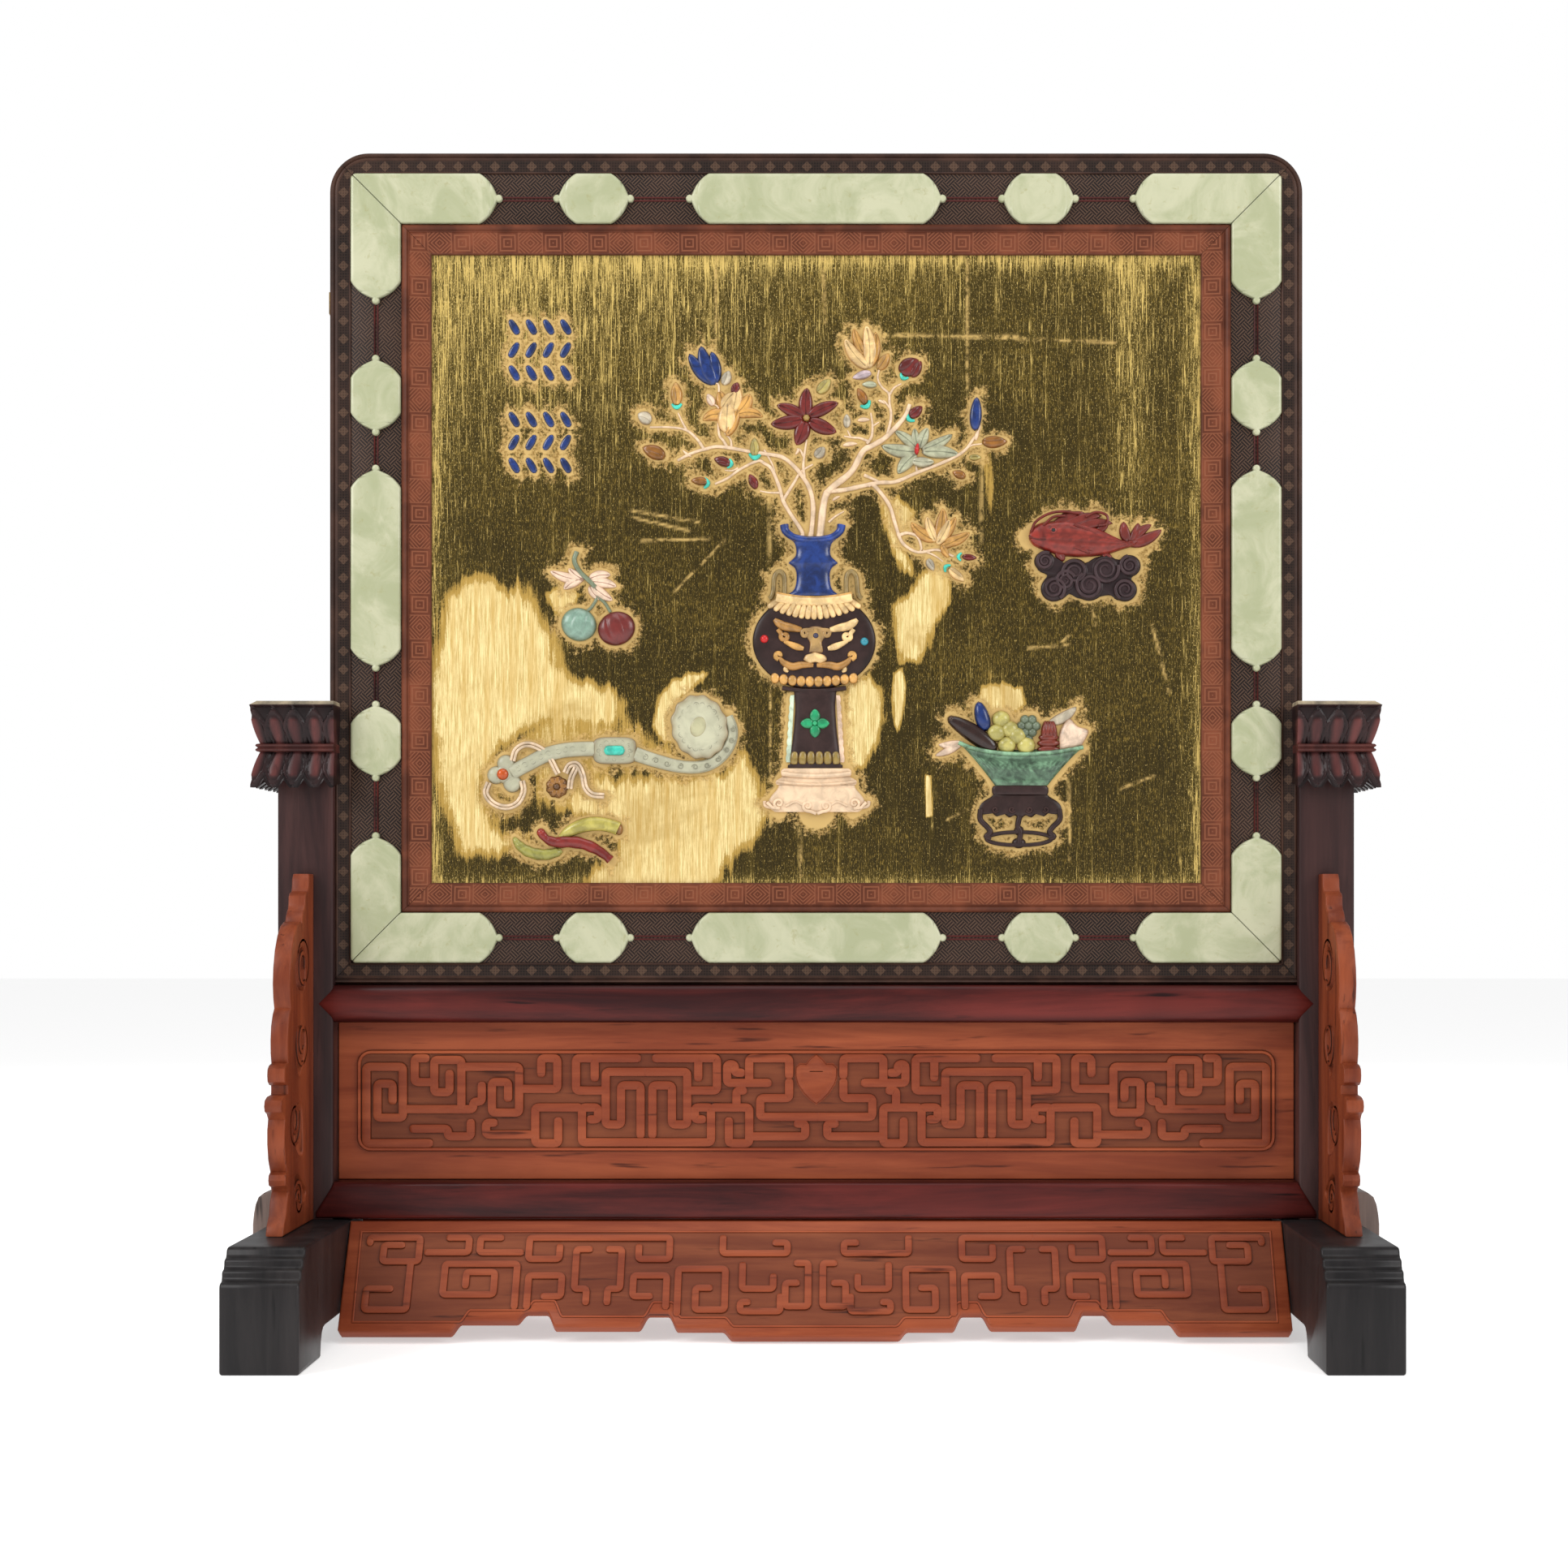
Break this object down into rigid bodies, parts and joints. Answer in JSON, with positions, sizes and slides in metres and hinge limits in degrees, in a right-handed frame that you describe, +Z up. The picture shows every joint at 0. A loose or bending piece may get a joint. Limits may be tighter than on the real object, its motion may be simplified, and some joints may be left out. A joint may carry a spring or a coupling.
{
  "type": "inlaid table screen",
  "caption": "Table screen: a jade-mounted frame round a gilt board inlaid with a vase of blossom, carp, fruit and sceptre, held in a carved hardwood stand.",
  "frame": {"origin": "on the table, midway between the feet and between front and back", "axes": "+X along the screen to its right seen from the front, -Y the inlaid front, +Z up"},
  "size_m": [0.6676, 0.3, 0.7],
  "materials": {
    "dark_wood": "waxed, worn brown at the edges",
    "rail_wood": "dark red-brown, polished",
    "red_wood": "orange-brown, carved, waxed",
    "frame_wood": "dark brown with a fine carved diaper ground",
    "liner_wood": "red-brown with a carved key pattern",
    "jade": "pale green-grey jade, polished",
    "gilt": "gilt ground darkened to olive brown, rubbed through to bright gold",
    "lacquer": "plain dark lacquer",
    "brass": "dull, aged",
    "lapis": "deep blue, polished",
    "dark_inlay": "dark purple-brown hardwood, carved",
    "bone": "pale bone and shell, carved",
    "red_stone": "dark red stone, carved",
    "green_stone": "mottled green stone, polished",
    "fruit_stone": "coloured stones, polished",
    "pale_jade": "pale grey-green jade, engraved"
  },
  "bodies": {
    "root": {"foot_left": "dark_wood", "foot_right": "dark_wood", "post_left": "dark_wood", "post_right": "dark_wood", "spandrel_front_left": "red_wood", "spandrel_front_right": "red_wood", "spandrel_back_left": "red_wood", "spandrel_back_right": "red_wood", "top_rail": "rail_wood", "low_rail": "rail_wood", "waist_panel": "red_wood", "apron_front": "red_wood", "apron_back": "red_wood", "frame_top": "frame_wood", "frame_bottom": "frame_wood", "frame_left": "frame_wood", "frame_right": "frame_wood", "liner_top": "liner_wood", "liner_bottom": "liner_wood", "liner_left": "liner_wood", "liner_right": "liner_wood", "gilt_board": "gilt", "back_board": "lacquer", "brass_catch": "brass", "jade_top_start": "jade", "jade_top_first": "jade", "jade_top_middle": "jade", "jade_top_last": "jade", "jade_top_end": "jade", "jade_left_start": "jade", "jade_left_first": "jade", "jade_left_middle": "jade", "jade_left_last": "jade", "jade_left_end": "jade", "jade_bottom_start": "jade", "jade_bottom_first": "jade", "jade_bottom_middle": "jade", "jade_bottom_last": "jade", "jade_bottom_end": "jade", "jade_right_start": "jade", "jade_right_first": "jade", "jade_right_middle": "jade", "jade_right_last": "jade", "jade_right_end": "jade", "vase_stand": "bone", "vase_pillar": "dark_inlay", "vase_body": "dark_inlay", "vase_neck": "lapis", "magnolia_branch": "bone", "fruit_bowl": "green_stone", "bowl_fruit": "fruit_stone", "bowl_stand": "dark_inlay", "carp": "red_stone", "carp_stand": "dark_inlay", "ruyi_sceptre": "pale_jade", "fruit_spray": "fruit_stone", "fruit_pods": "red_stone"}
  },
  "joints": []
}
